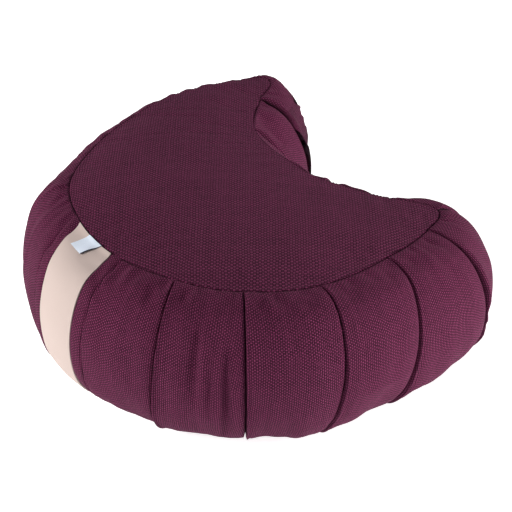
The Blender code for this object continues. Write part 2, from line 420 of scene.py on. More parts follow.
def simulate(name, points, faces, pins, values):
    # swells a sheet of cloth from within, held at its pins, and gives how far each point moved
    cloth = newObject(name, points, faces)
    held = cloth.vertex_groups.new(name="held")
    held.add([int(i) for i in pins], 1.0, "REPLACE")
    sim = cloth.modifiers.new("cloth", "CLOTH")
    for key, value in clothSettings.items():
        setattr(sim.settings, key, value)
    sim.settings.vertex_group_mass = "held"
    sim.settings.uniform_pressure_force = values["pressure"]
    sim.settings.effector_weights.gravity = 0
    sim.settings.shrink_min = -values["slack"]
    sim.collision_settings.use_collision = False
    sim.point_cache.frame_start, sim.point_cache.frame_end = 1, clothFrames
    for step in range(1, clothFrames + 1):
        scene.frame_set(step)
    shaped = cloth.evaluated_get(bpy.context.evaluated_depsgraph_get())
    moved = np.zeros(len(points) * 3)
    shaped.data.vertices.foreach_get("co", moved)
    moved = moved.reshape(-1, 3) - np.asarray(points)
    mesh = cloth.data
    bpy.data.objects.remove(cloth)
    bpy.data.meshes.remove(mesh)
    scene.frame_set(1)
    length = np.linalg.norm(moved, axis=1, keepdims=True)
    cap = values["cap"] * mm
    moved *= np.where(length > cap, cap / np.maximum(length, 1e-9), 1)
    print("simulated", name, len(points), "points, largest move",
          round(float(length.max()) * 1000, 2), "mm")
    return moved


# w is the opening of a pleat, deep how far it tucks in and roll how proud its folded edge
# stands, in mm near the upper seam, half way down and near the lower seam.
knifePleat = {"w": (0.8, 1.2, 1.4), "deep": (4.0, 6.0, 6.0), "roll": (0.5, 0.9, 0.9)}
pleats = {
    "front1": {"w": (0.5, 0.7, 0.9), "deep": (2.5, 3.0, 3.5), "roll": (0.9, 1.9, 1.9),
               "press": 1.0, "fill": 1.8},
    "front2": {"w": (0.6, 0.8, 1.0), "deep": (3.0, 3.8, 4.2), "roll": (0.6, 1.5, 1.6),
               "press": 0.8, "fill": 0.9},
    "front3": {"w": (0.6, 0.9, 1.0), "deep": (3.2, 4.2, 4.4), "roll": (0.6, 1.4, 1.3),
               "press": 0.8, "fill": 0.8},
    "front4": {"w": (0.6, 1.0, 1.0), "deep": (3.2, 4.4, 4.4), "roll": (0.6, 1.4, 1.3),
               "press": 0.8, "fill": 0.8},
    "hornOuterRight": {"w": (0.6, 1.1, 1.5), "deep": (3.0, 4.8, 5.2), "roll": (0.8, 2.0, 2.0),
                       "press": 0.7},
    "back3": {"w": (0.5, 0.6, 0.8), "deep": (2.0, 2.5, 3.0), "roll": (0.5, 0.8, 0.8),
              "press": 0.8},
    "hornInnerRight": {"w": (2.8, 1.6, 1.4), "deep": (6.0, 6.0, 6.0), "roll": (0.8, 1.0, 1.0)},
    "bay4": {"w": (2.6, 2.0, 1.4), "deep": (7.0, 6.0, 6.0), "roll": (1.6, 2.0, 1.5),
             "press": 0.6, "fill": 0.6},
    "bay5": {"w": (3.8, 1.6, 1.0), "deep": (8.0, 4.5, 3.5), "roll": (1.5, 1.5, 1.2),
             "press": 0.6, "fill": 0.6},
    "hornInnerLeft": {"w": (0.7, 0.8, 0.8), "deep": (3.0, 3.5, 3.5), "roll": (1.0, 1.6, 1.4),
                      "press": 0.7},
    "back4": {"w": (0.8, 1.2, 1.2), "deep": (4.0, 5.0, 5.0), "roll": (1.2, 2.4, 2.2),
              "press": 0.6, "fill": 1.5},
}

band = {
    "topRows": (0.0, 0.5, 1.0, 1.7, 2.6, 4.0, 6.2, 9.0),        # mm from the upper seam
    "bottomRows": (9.0, 6.0, 4.0, 2.5, 1.2, 0.0),               # mm from the lower seam
    "middleRows": 44,
    "reach": 12.0,             # mm each side of a row that its profile takes
    "spacing": 2.0,            # mm between the columns elsewhere
    "seamDip": 1.6,            # how deep the cloth rolls into the seams, mm
    "seamRoll": 1.1,           # how quickly it comes out of them, mm
    "clampLength": 9.0,        # how far from a seam the pleats are still pressed flat, mm
    "clampShare": 0.35,
    "pucker": 0.55,            # height of the small puckers along the seams, mm
    "puckerLength": 16.0,      # how far they run from the seams, mm
    "puckerStart": 3.0,
    "puckerWave": (13, 60),    # their size along and down the band, mm
    "undulation": 0.5,         # soft unevenness of the filled cloth, mm
    "undulationStart": 14.0,
    "undulationWave": (34, 60),
    "pleatShadeFrom": 1.0,           # how deep in a pleat the cloth begins to be painted darker as shade, mm
    "pleatShadeOver": 1.0,
    "hemReach": 13.4,          # the topstitching's distance from the pale strip, mm
    "hemDip": 1.0,             # how deep the topstitching presses the hem, mm
    "recess": 2.7,             # how deep the band lies under the pale strip, mm
    "room": 0.42,              # share of the way to the next row that a profile may take
    "leastFit": 0.3,           # and how narrow it may get
    "probes": (0.06, 0.25),    # steps over which the band's length is measured beside a row
    "wideShare": 0.6,
}


def pleatProfile(w, deep, roll, press=0.35, fill=0.0):
    # along and out, in mm, across one knife pleat: the next stretch folds over the one before.
    # press is how sharply the folded edge is ironed, 0 to 1, and fill how much the cloth beside
    # it is raised, so that the pleat lies flat
    half = w / 2
    edge = -half - 0.35 + 0.2 * press
    slope, foot, back = 0.85 - 0.35 * press, 0.55 - 0.45 * press, 0.3 + 0.1 * press
    fall = 1 - 0.6 * press
    points = np.array((
        (-12.0, 0.0), (edge - 7.0, -0.03 * deep * fall), (edge - 4.6, -0.09 * deep * fall),
        (edge - 2.8, -0.19 * deep * fall), (edge - 1.3 + 0.6 * press, -0.33 * deep * fall),
        (edge - 0.35 + 0.15 * press, -0.50 * deep),
        (-half, -0.78 * deep), (-half * 0.5, -deep), (half * 0.3, -deep),
        (half * 0.75, -0.78 * deep), (half * 0.85, -0.42 * deep), (half * 0.8, -0.12 * deep),
        (half + 0.1, 0.35 * roll), (half + 0.6, 0.9 * roll), (half + 1.3, roll),
        (half + 2.2, slope * roll), (half + 3.2, foot * roll), (half + 5.2, back * roll),
        (12.0, 0.0),
    ))
    beside = smoothstep((np.abs(points[:, 0]) - half) / 0.8)
    points[:, 1] += fill * beside * np.exp(-(points[:, 0] / 6.0) ** 2)
    return points


def hemProfile(side):
    # along and out across an edge of the pale strip; side is 1 where the strip follows
    reach, recess, dip = band["hemReach"], band["recess"], band["hemDip"]
    points = np.array((
        (-reach - 3.0, 0.0), (-reach - 0.8, 0.0), (-reach, -dip), (-reach + 0.8, 0.15),
        (-10.0, 0.5), (-7.0, 0.55), (-3.5, 0.45), (-1.5, 0.15), (-0.7, -0.05), (-0.2, -0.45),
        (0.0, -1.4), (0.1, -recess), (0.8, -recess), (2.0, -recess), (4.0, -recess),
        (6.0, -recess), (8.0, -recess), (10.0, -recess), (12.0, -recess),
    ))
    return points if side > 0 else (points * (-1, 1))[::-1]


hemSides = {"stripLeft": 1, "stripRight": -1}
profileSize = len(pleatProfile(1, 5, 1))


def threeWay(values, share):
    # eases from the top value through the middle one to the bottom one
    return np.interp(share, (0.0, 0.12, 0.5, 0.85, 1.0),
                     (values[0], values[0], values[1], values[2], values[2]))


def sectionMap(s):
    # for each column the place down the band of each row of points, and the distance in mm
    fine = np.linspace(0, 1, 241)
    line = bandAt(s[:, None], fine[None, :], puff=0)
    length = runAlong(line, 1) / mm
    total = length[:, -1:]
    top, low = np.array(band["topRows"]), np.array(band["bottomRows"])
    middle = np.linspace(0, 1, band["middleRows"] + 2)[1:-1]
    wanted = np.concatenate([
        np.repeat(top[None], len(s), 0),
        top[-1] + middle[None] * (total - top[-1] - low[0]),
        total - low[None]], 1)
    down = np.array([np.interp(wanted[i], length[i], fine) for i in range(len(s))])
    return down, wanted, total


def bandSpeed(k, side, down):
    # mm along the band for each unit of s, on one side of a row
    here = bandAt(float(k), down, puff=0)
    near, wide = (np.linalg.norm(bandAt(k + side * step, down, puff=0) - here, axis=1) / step / mm
                  for step in band["probes"])
    # in the bay's corners the first one is too small
    return np.maximum(near, band["wideShare"] * wide)


def bandColumns():
    # the place on the seam, the offset and the owner of every column, for every row of points
    rows = len(band["topRows"]) + band["middleRows"] + len(band["bottomRows"])
    down, arc, total = sectionMap(np.arange(rowCount, dtype=float))
    places, lifts = [], []
    for k in range(rowCount):
        name = rowNames[k]
        share = arc[k] / total[k]
        fromSeam = np.minimum(arc[k], total[k] - arc[k])
        clamp = band["clampShare"] + (1 - band["clampShare"]) * smoothstep(
            fromSeam / band["clampLength"])
        if name in hemSides:
            profile = np.repeat(hemProfile(hemSides[name])[:, None], rows, 1)
        else:
            own = pleats.get(name, knifePleat)
            w, deep, roll = (threeWay(own[key], share) for key in ("w", "deep", "roll"))
            press, fill = own.get("press", 0.35), own.get("fill", 0.0)
            profile = np.stack([pleatProfile(w[i] * clamp[i], deep[i] * clamp[i],
                                             roll[i] * clamp[i], press, fill * clamp[i])
                                for i in range(rows)], 1)
        here = bandAt(float(k), down[k], puff=0)
        ahead, behind = bandSpeed(k, 1, down[k]), bandSpeed(k, -1, down[k])
        along = profile[..., 0]
        # where two pleats lie close, their profiles draw in so that they never meet
        for side, turned in ((1, along > 0), (-1, along < 0)):
            room = band["room"] * np.linalg.norm(
                bandAt(float(k + side), down[k], puff=0) - here, axis=1) / mm
            most = np.abs(along).max(0, where=turned, initial=0.0)
            fit = np.clip(room / most, band["leastFit"], 1.0)
            drawn = along * (fit + (1 - fit) * (1 - np.abs(along) / most) ** 2)
            along = np.where(turned, drawn, along)
        places.append(k + np.where(along > 0, along / ahead, along / behind))
        lifts.append(profile[..., 1] * mm)
    allPlaces, allLifts, owners = [], [], []
    for k in range(rowCount):
        nextRow = (k + 1) % rowCount
        start = places[k][-1]
        end = places[nextRow][0] + (rowCount if nextRow == 0 else 0)
        middle = max(2, round((stretchLength(k) - 2 * band["reach"]) / band["spacing"]))
        share = np.linspace(0, 1, middle + 1)[1:-1]
        allPlaces += [places[k], start[None] + share[:, None] * (end - start)[None]]
        rest = -band["recess"] * mm if rowNames[k] == "stripLeft" else 0.0
        allLifts += [lifts[k], np.full((len(share), rows), rest)]
        owners += [k] * (profileSize + len(share))
    return np.concatenate(allPlaces), np.concatenate(allLifts), np.array(owners)


def cubicWeights(at, count):
    # smooth weights over evenly spaced nodes, for reading a coarse field at fine places
    x = np.clip(at, 0, 1) * (count - 1)
    i = np.clip(np.floor(x).astype(int), 0, count - 2)
    t = x - i
    basis = (((-t + 2) * t - 1) * t / 2, ((3 * t - 5) * t * t + 2) / 2,
             ((-3 * t + 4) * t + 1) * t / 2, (t - 1) * t * t / 2)
    weights = np.zeros((len(at), count))
    for j, part in enumerate(basis):
        np.add.at(weights, (np.arange(len(at)), np.clip(i + j - 1, 0, count - 1)), part)
    return weights


swelling = {"across": 8.5, "rows": 25, "pressure": 4.0, "cap": 3.0, "slack": 0.012}


def bandSwelling():
    # the cloth of the band, coarser, blown up between its seams and pleats
    stations, starts = [], []
    for k in range(rowCount):
        parts = max(4, round(stretchLength(k) / swelling["across"]))
        starts.append((len(stations), parts))
        stations += [k + i / parts for i in range(parts)]
    stations = np.array(stations)
    rows = swelling["rows"]
    down = np.linspace(0, 1, rows)
    points = bandAt(stations[None, :], down[:, None])
    count = len(stations)
    faces = gridFaces(rows, count, closed=True)
    pinned = {start for k, (start, _) in enumerate(starts) if k not in (0, rowCount - 1)}
    pins = [r * count + c for r in range(rows) for c in range(count)
            if c in pinned or r in (0, rows - 1)]
    moved = simulate("bandCloth", points.reshape(-1, 3), faces, pins, swelling)
    moved = moved.reshape(rows, count, 3)
    fields = [moved[:, [(start + i) % count for i in range(parts + 1)]]
              for start, parts in starts]
    # the pale strip's twill is stiffer and lies smooth, so it swells evenly from edge to edge
    share = np.linspace(0, 1, fields[-1].shape[1])[None, :, None]
    fields[-1] = fields[-1][:, :1] * (1 - share) + fields[-1][:, -1:] * share
    return fields


def readField(row, across, down):
    # the swelling of a stretch, read smoothly at places across and down it
    field = swellingFields[row]
    return np.einsum("nr,nc,rcd->nd", cubicWeights(down, field.shape[0]),
                     cubicWeights(across, field.shape[1]), field)


def softNoise(x, y, seed, waves=7):
    # a smooth field of a few crossing waves, about -1 to 1
    own = np.random.default_rng(seed)
    total = np.zeros(np.broadcast(x, y).shape)
    for _ in range(waves):
        a = own.uniform(0, 2 * np.pi)
        size = own.uniform(0.6, 1.5)
        total += np.sin((x * np.cos(a) + y * np.sin(a)) * 2 * np.pi * size
                        + own.uniform(0, 2 * np.pi))
    return total / np.sqrt(waves)


# Soft folds, listed one by one: the stretch's first row, the place across it at the top and
# bottom of the fold, where it starts and ends down the band, its width and its height in mm.
folds = (
    ("front1", 0.79, 0.77, 0.24, 0.82, 3.0, -4.1),
    ("front1", 0.86, 0.85, 0.26, 0.80, 2.6, 1.8),
    ("front1", 0.69, 0.67, 0.30, 0.74, 3.6, 1.2),
    ("front1", 0.46, 0.44, 0.14, 0.58, 4.0, -3.0),
    ("front1", 0.54, 0.53, 0.16, 0.56, 3.4, 1.0),
    ("front1", 0.62, 0.60, 0.36, 0.66, 2.6, -1.8),
    ("front1", 0.50, 0.50, 0.66, 1.00, 20.0, -2.0),
    ("front2", 0.30, 0.35, 0.10, 0.45, 7.0, -0.6),
    ("front2", 0.30, 0.30, 0.66, 1.00, 22.0, -2.5),
    ("front3", 0.55, 0.60, 0.58, 1.00, 24.0, -6.0),
    ("front3", 0.60, 0.66, 0.12, 0.50, 8.0, -0.7),
    ("front1", 0.035, 0.035, 0.04, 0.96, 1.6, 1.2),
    ("hornOuterRight", 0.13, 0.15, 0.08, 0.62, 3.0, 1.6),
    ("hornOuterRight", 0.50, 0.50, 0.20, 0.80, 14.0, -2.5),
    ("bay1", 0.93, 0.93, -0.10, 0.40, 5.0, -2.5),
    ("bay5", 0.50, 0.50, 0.10, 0.95, 12.0, -4.0),
    ("back2", 0.50, 0.50, 0.05, 0.75, 20.0, -2.0),
    ("back3", 0.45, 0.45, 0.05, 0.75, 16.0, -2.5),
    ("back4", 0.30, 0.22, 0.03, 0.60, 6.0, -1.6),
    ("back4", 0.42, 0.34, 0.05, 0.60, 5.0, 1.0),
    ("back3", 0.55, 0.60, 0.05, 0.50, 6.0, -1.0),
    ("back3", 0.90, 0.88, 0.05, 0.62, 2.6, -1.8),
    ("back3", 0.82, 0.80, 0.05, 0.62, 2.6, 1.2),
    ("hornInnerLeft", 0.30, 0.34, 0.06, 0.50, 3.0, 1.5),
    ("hornInnerLeft", 0.42, 0.46, 0.06, 0.50, 3.4, -1.5),
    ("stripRight", 0.55, 0.60, 0.10, 0.55, 8.0, -0.6),
)


def stretchPlace(s, row):
    # how far past a row each place is, and whether that is before the next row
    place = (s - row + rowCount / 2) % rowCount - rowCount / 2
    return place, (place >= 0) & (place < 1)


def buildBand():
    s, lift, owner = bandColumns()                   # columns by rows of points
    # painted shade: 1 deep inside a pleat, where the cloth's colour is darkened
    pleatShade = smoothstep((-lift / mm - band["pleatShadeFrom"]) / band["pleatShadeOver"])
    rows = s.shape[1]
    down, arc, total = sectionMap(s.mean(1))
    fromSeam = np.minimum(arc, total - arc)
    # the roll into both seams
    lift = lift - band["seamDip"] * mm * np.exp(-fromSeam / band["seamRoll"])
    # small puckers along the seams, and a soft unevenness everywhere
    alongMm = runAlong(bandAt(s[:, rows // 2], halfDown, puff=0))[:, None] / mm
    fade = np.exp(-fromSeam / band["puckerLength"]) * smoothstep(fromSeam / band["puckerStart"])
    x, y = band["puckerWave"]
    lift = lift + band["pucker"] * mm * fade * softNoise(alongMm / x, arc / y, 3)
    calm = smoothstep(fromSeam / band["undulationStart"])
    x, y = band["undulationWave"]
    lift = lift + band["undulation"] * mm * calm * softNoise(alongMm / x, arc / y, 5)
    for name, top, low, start, end, width, height in folds:
        row = rowNames.index(name)
        across, mine = stretchPlace(s, row)
        share = arc / total
        way = np.clip((share - start) / (end - start), 0, 1)
        middle = top + (low - top) * way
        off = (across - middle) * stretchLength(row) / width
        strength = np.exp(-off**2) * np.sin(np.pi * way) ** 0.7
        lift = lift + np.where(mine, strength * height * mm, 0)
    flat = (owner[:, None] == rowCount - 1) & (s > owner[:, None])
    lift = np.where(flat, -band["recess"] * mm, lift)
    points = bandAt(s, down)
    points = points + bandNormal(s, down) * lift[..., None]
    # the simulated swelling, read smoothly within each stretch
    for row in range(rowCount):
        place, mine = stretchPlace(s, row)
        c, r = np.nonzero(mine)
        points[c, r] += readField(row, place[c, r], down[c, r])
    return s, down, points, owner, pleatShade


def bandPiece(s, points):
    count, rows = s.shape
    grid = points.transpose(1, 0, 2)                 # rows of points by columns
    # cloth coordinates: distance along each row from the middle of its stretch, and down
    along = runAlong(grid, 1)
    starts = [int(np.argmin(np.abs(s[:, rows // 2] - k))) for k in range(rowCount)]
    cloth = np.zeros((rows, count, 2))
    for k in range(rowCount):
        first, last = (starts + [count])[k:k + 2]
        middle = (first + last) // 2
        cloth[:, first:last, 0] = along[:, first:last] - along[:, middle:middle + 1] + 0.2 * k
    cloth[..., 1] = runAlong(grid)
    return grid, cloth


panels = {
    "stations": 420,
    "topRings": (0.4, 0.8, 1.4, 2.3, 4.0),           # mm in from the seam
    "topDips": (1.3, 0.7, 0.3, 0.1, 0.0),            # how far the rim rolls down there, mm
    "topSpacing": 3.2,
    "thickness": 2.0,
    "rise": 0.9,               # how square the crown's section is, 1 for a parabola
    "grain": -35.0,            # direction of the top panel's threads, degrees
    "cap": 3.0,                # how far the simulation may lift it, mm
    "pressure": 4.0,
    "slack": 0.004,
    "ripple": 0.35,            # height of its soft unevenness, mm
    "rippleLength": 0.06,      # and its length, m
    "edgeRounds": 1500,        # how long the heights settle in from the rim
    "crownRounds": 2500,       # and how long the crown rises
    "tuckIn": 0.3,             # how far the lower face lies within the upper one, mm
}


def crownMesh(stations, rings, spacing):
    # the rings along the seam and a triangulated middle, with the heights of a filled crown
    s = np.linspace(0, rowCount, stations, endpoint=False)
    seam, side = seamAt(s), outwardAt(s)
    loops = [seam - side * inset * mm for inset in rings]
    flat, faces = fillRing(loops[-1], spacing * mm)
    outer = loops[:-1]
    points = np.concatenate(outer + [flat])
    first = stations * len(outer)
    faces = shifted(faces, first)
    for r in range(len(outer)):
        faces += loopFaces(range(r * stations, (r + 1) * stations), stations)
    return s, points, [face if facesUp(points, face) else face[::-1] for face in faces], first


def crownHeights(s, points, faces, rim):
    count = len(points)
    table, degree = neighbourTable(count, faces)
    free = np.ones(count, bool)
    free[:rim + len(s)] = False
    edge = np.tile(eased("z", s), rim // len(s) + 1)
    base = np.full(count, edge.mean())
    base[:rim + len(s)] = edge
    base = relax(base, table, degree, free, panels["edgeRounds"])
    bowl = relax(np.zeros(count), table, degree, free, panels["crownRounds"], push=1.0)
    bowl = np.maximum(bowl / bowl.max(), 0) ** panels["rise"]
    return base, bowl, free


def buildTopPanel():
    s, flat, faces, rim = crownMesh(panels["stations"], panels["topRings"], panels["topSpacing"])
    base, bowl, free = crownHeights(s, flat, faces, rim)
    rise = shape["ridge"] - base[bowl.argmax()] - panels["cap"] * mm
    height = base + rise * bowl
    points = np.concatenate([flat, height[:, None]], 1)
    pins = np.nonzero(~free)[0]
    points = points + simulate("topCloth", points, faces, pins, panels)
    calm = np.minimum(bowl * 6, 1)
    x, y = flat.T / panels["rippleLength"]
    points[:, 2] += panels["ripple"] * mm * calm * softNoise(x, y, 11)
    dips = np.repeat(panels["topDips"], len(s)) * mm
    points[:len(dips), 2] -= dips
    # a second face below, joined round the rim
    count = len(points)
    under = points.copy()
    under[:, 2] -= panels["thickness"] * mm
    under[:len(s), :2] -= outwardAt(s) * panels["tuckIn"] * mm
    allFaces = faces + shifted(faces, count, flip=True)
    allFaces += [(a, d, c, b) for a, b, c, d in loopFaces(range(len(s)), count)]
    a = math.radians(panels["grain"])
    turn = np.array(((math.cos(a), -math.sin(a)), (math.sin(a), math.cos(a))))
    cloth = np.concatenate([flat, flat]) @ turn
    return newPiece("topPanel", np.concatenate([points, under]), allFaces, cloth)


basePanel = {
    "stations": 240,
    "rings": (0.6, 2.0, 5.0),
    "inset": (0.6, 2.0, 5.0, 10.0, 18.0, 28.0),      # mm in from the seam
    "heights": (4.2, 3.0, 1.6, 0.5, 0.05, 0.0),      # its underside there, above the floor, mm
    "spacing": 9.0,
    "thickness": 2.0,
    "seamStations": 960,       # points along the seam that the inset is measured from
}


def buildBasePanel():
    s, flat, faces, _ = crownMesh(basePanel["stations"], basePanel["rings"],
                                  basePanel["spacing"])
    seam = seamAt(np.linspace(0, rowCount, basePanel["seamStations"], endpoint=False))
    inset = reachOf(flat, seam) / mm
    height = np.interp(inset, basePanel["inset"], basePanel["heights"]) * mm
    count = len(flat)
    low = np.concatenate([flat, height[:, None]], 1)
    high = low.copy()
    high[:, 2] += basePanel["thickness"] * mm
    allFaces = shifted(faces, count) + shifted(faces, 0, flip=True)
    allFaces += loopFaces(range(len(s)), count)
    return newPiece("basePanel", np.concatenate([low, high]), allFaces,
                    np.concatenate([flat, flat]))


body = {
    "tuckIn": 2.5,             # how far the cloth runs in under the panels, mm
    "sink": 6.5,               # how far below the upper seam it ends there, mm
    "floor": 8.0,              # height at which it ends below, mm
    "capSpacing": 14,          # mm between the points of the hidden caps
    "capRounds": 400,          # how long the upper cap is evened out
}


def buildPleatedBand(s, points, pleatShade):
    grid, cloth = bandPiece(s, points)
    rows, count = grid.shape[:2]
    # two more loops tuck the cloth in under the panels, and coarse caps close the body
    upperIn, lowerIn = grid[0].copy(), grid[-1].copy()
    upperIn[:, :2] -= outwardAt(s[:, 0]) * body["tuckIn"] * mm
    upperIn[:, 2] = eased("z", s[:, 0]) - body["sink"] * mm
    lowerIn[:, :2] -= outwardAt(s[:, -1]) * body["tuckIn"] * mm
    lowerIn[:, 2] = body["floor"] * mm
    loops = np.concatenate([upperIn[None], grid, lowerIn[None]])
    allPoints = [loops.reshape(-1, 3)]
    uv = [np.concatenate([cloth[:1], cloth, cloth[-1:]]).reshape(-1, 2)]
    faces = gridFaces(rows + 2, count, closed=True)
    total = (rows + 2) * count
    for upper, first in ((True, 0), (False, (rows + 1) * count)):
        ring = loops[0 if upper else -1]
        flat, caps = fillRing(ring[:, :2], body["capSpacing"] * mm)
        inner = flat[count:]
        height = np.full(len(inner), body["floor"] * mm)
        if upper:
            table, degree = neighbourTable(len(flat), caps)
            free = np.arange(len(flat)) >= count
            height = np.concatenate([ring[:, 2], np.full(len(inner), ring[:, 2].mean())])
            height = relax(height, table, degree, free, body["capRounds"])[count:]
        for face in caps:
            if facesUp(flat, face) != upper:
                face = face[::-1]
            faces.append(tuple(first + i if i < count else total + i - count for i in face))
        allPoints.append(np.concatenate([inner, height[:, None]], 1))
        uv.append(inner)
        total += len(inner)
    made = newPiece("pleatedBand", np.concatenate(allPoints), faces, np.concatenate(uv))
    # the pleats' painted shade, kept on the band's points for its material
    shade = np.ones(total)
    shade[:(rows + 2) * count] = np.pad(pleatShade.T, ((1, 1), (0, 0)), mode="edge").ravel()
    made.data.attributes.new("pleatShade", "FLOAT", "POINT").data.foreach_set("value", shade)
    return made


strip = {"across": 19, "rows": 74, "inset": 0.3, "thickness": 1.4, "lift": 0.3,
         "from": 0.010, "to": 0.975, "bow": 0.5}
tag = {"from": 0.41, "to": 0.76, "start": 0.010, "length": 0.115, "skew": -0.19, "rows": 16,
       "across": 14, "thickness": 0.8, "lift": 0.3, "curl": 1.7, "stand": 0.5}


def stripPoint(across, down, lift):
    # a point lifted off the swollen band, across the strip from its left edge, 0, to its right, 1
    across, down = np.broadcast_arrays(across, down)
    s = rowCount - 1 + across
    point = bandAt(s, down) + bandNormal(s, down) * np.asarray(lift)[..., None]
    return point + readField(-1, across.ravel(), down.ravel()).reshape(point.shape)


def edgedSpan(low, high, count, rim):
    # even steps with one more close to each end, so that a sheet's edges shade crisply
    return np.concatenate([[low], np.linspace(low + rim, high - rim, count - 2), [high]])


def sheetPiece(name, upper, lower, cloth):
    # a thin closed sheet from two matching grids of points
    rows, across = upper.shape[:2]
    count = rows * across
    faces = gridFaces(rows, across)
    rim = (list(range(across)) + [r * across + across - 1 for r in range(1, rows)]
           + [(rows - 1) * across + c for c in range(across - 2, -1, -1)]
           + [r * across for r in range(rows - 2, 0, -1)])
    faces += shifted(faces, count, flip=True) + loopFaces(rim, count)
    points = np.concatenate([upper.reshape(-1, 3), lower.reshape(-1, 3)])
    uv = np.concatenate([cloth.reshape(-1, 2)] * 2)
    return newPiece(name, points, faces, uv)


def clothCoordinates(grid):
    along = runAlong(grid, 1)
    return np.stack([along - along[:, grid.shape[1] // 2, None], runAlong(grid)], -1)


def buildStrip():
    width = np.linalg.norm(stripPoint(1, halfDown, 0.0) - stripPoint(0, halfDown, 0.0)) / mm
    margin = strip["inset"] / width
    across = edgedSpan(margin, 1 - margin, strip["across"], 0.4 / width)[None]
    down = edgedSpan(strip["from"], strip["to"], strip["rows"], 0.002)[:, None]
    across, down = np.broadcast_arrays(across, down)
    bow = strip["bow"] * 4 * across * (1 - across) * np.sin(np.pi * down) ** 0.5
    lift = (strip["lift"] + bow) * mm
    lift = lift + 0.12 * mm * softNoise(across * 1.3, down * 5, 21)
    upper = stripPoint(across, down, lift)
    lower = stripPoint(across, down, lift - strip["thickness"] * mm)
    return sheetPiece("insetStrip", upper, lower, clothCoordinates(upper))


def buildTag():
    across = edgedSpan(tag["from"], tag["to"], tag["across"], 0.006)[None]
    way = edgedSpan(0, 1, tag["rows"], 0.02)[:, None]
    across, way = np.broadcast_arrays(across, way)
    down = tag["start"] + tag["length"] * way
    share = (across - tag["from"]) / (tag["to"] - tag["from"])
    across = across + tag["skew"] * way
    lift = tag["lift"] + tag["curl"] * smoothstep((share - 0.35) / 0.65) * np.sin(
        np.pi * np.clip(way * 0.72, 0, 1)) ** 1.3
    lift = lift + tag["stand"] * way ** 1.4
    upper = stripPoint(across, down, (lift + tag["thickness"]) * mm)
    lower = stripPoint(across, down, lift * mm)
    made = sheetPiece("foldedTag", upper, lower, clothCoordinates(upper))
    shown = (tag["rows"] - 1) * (tag["across"] - 1)
    made.data.materials.append(whiteRibbon)
    made.data.materials.append(navyRibbon)
    for i, polygon in enumerate(made.data.polygons):
        polygon.material_index = int(i >= shown)     # the back and the edges are darker
    return made


hemThread = {"width": 1.25, "length": 2.1, "pitch": 3.2, "column": 2}
seamThread = {"width": 1.0, "length": 2.2, "pitch": 3.2, "sunk": 1.3, "out": 0.3,
              "stations": 2400}


def modelStitch():
    # one short rounded stitch along X, 1 long and 1 wide, modelled once and copied
    bpy.ops.mesh.primitive_uv_sphere_add(segments=6, ring_count=5, radius=0.5)
    made = bpy.context.object
    bpy.ops.object.mode_set(mode="EDIT")
    bpy.ops.transform.rotate(value=math.pi / 2, orient_axis="Y", center_override=(0, 0, 0))
    bpy.ops.transform.resize(value=(1, 1, 0.8), center_override=(0, 0, 0))
    bpy.ops.object.mode_set(mode="OBJECT")
    points = np.array([v.co for v in made.data.vertices])
    faces = [tuple(polygon.vertices) for polygon in made.data.polygons]
    bpy.data.objects.remove(made)
    return points, faces


def layStitches(line, normal, values):
    # copies of the stitch laid end to end along a line of points, bent to follow it
    run = runAlong(line)

    def read(source, at):
        return np.stack([np.interp(at * mm, run, source[:, i]) for i in range(3)], 1)

    model, modelFaces = stitchModel
    points, faces = [], []
    for start in np.arange(values["pitch"] / 2, run[-1] / mm - values["length"],
                           values["pitch"]):
        at = start + (model[:, 0] + 0.5) * values["length"]
        ends = read(line, start + np.array((0.0, values["length"])))
        out = unit(read(normal, at))
        side = unit(np.cross(unit(ends[1] - ends[0]), out))
        faces += shifted(modelFaces, len(points))
        points += list(read(line, at) + (side * model[:, 1:2] + out * model[:, 2:3])
                       * values["width"] * mm)
    return points, faces


def buildHemStitches():
    # a line of topstitching down each hem beside the pale strip, in the dip made for it
    points, faces = [], []
    for row, place in ((rowCount - 1, hemThread["column"]),
                       (0, profileSize - 1 - hemThread["column"])):
        used = (int(np.argmax(bandOwner == row)) + place, slice(4, -4))
        normal = bandNormal(bandPlaces[used], bandDown[used])
        more, turned = layStitches(bandPoints[used], normal, hemThread)
        faces += shifted(turned, len(points))
        points += more
    return newPiece("hemStitches", points, faces)


def buildSeamStitches():
    # the beads of thread that show between the top panel and the band
    s = np.linspace(0, rowCount, seamThread["stations"])
    side = outwardAt(s)
    level = eased("z", s) - seamThread["sunk"] * mm
    line = np.concatenate([seamAt(s) + side * seamThread["out"] * mm, level[:, None]], 1)
    normal = unit(np.concatenate([side, np.ones((len(s), 1))], 1))
    return newPiece("seamStitches", *layStitches(line, normal, seamThread))


def maths(tree, operation, a, b=None, c=None):
    node = tree.nodes.new("ShaderNodeMath")
    node.operation = operation
    for socket, value in zip(node.inputs, (a, b, c)):
        if value is None:
            continue
        if isinstance(value, (int, float)):
            socket.default_value = value
        else:
            tree.links.new(value, socket)
    return node.outputs[0]


def mixColour(tree, factor, a, b):
    node = tree.nodes.new("ShaderNodeMix")
    node.data_type = "RGBA"
    tree.links.new(factor, node.inputs[0])
    node.inputs[6].default_value, node.inputs[7].default_value = a, b
    return node.outputs[2]


def noiseNode(tree, vector, scale, detail=2.0):
    node = tree.nodes.new("ShaderNodeTexNoise")
    setInputs(node, {"Scale": scale, "Detail": detail})
    tree.links.new(vector, node.inputs["Vector"])
    return node


weaveDrift = {"scale": 70.0, "reach": 4.0}           # how the threads wander off their lines


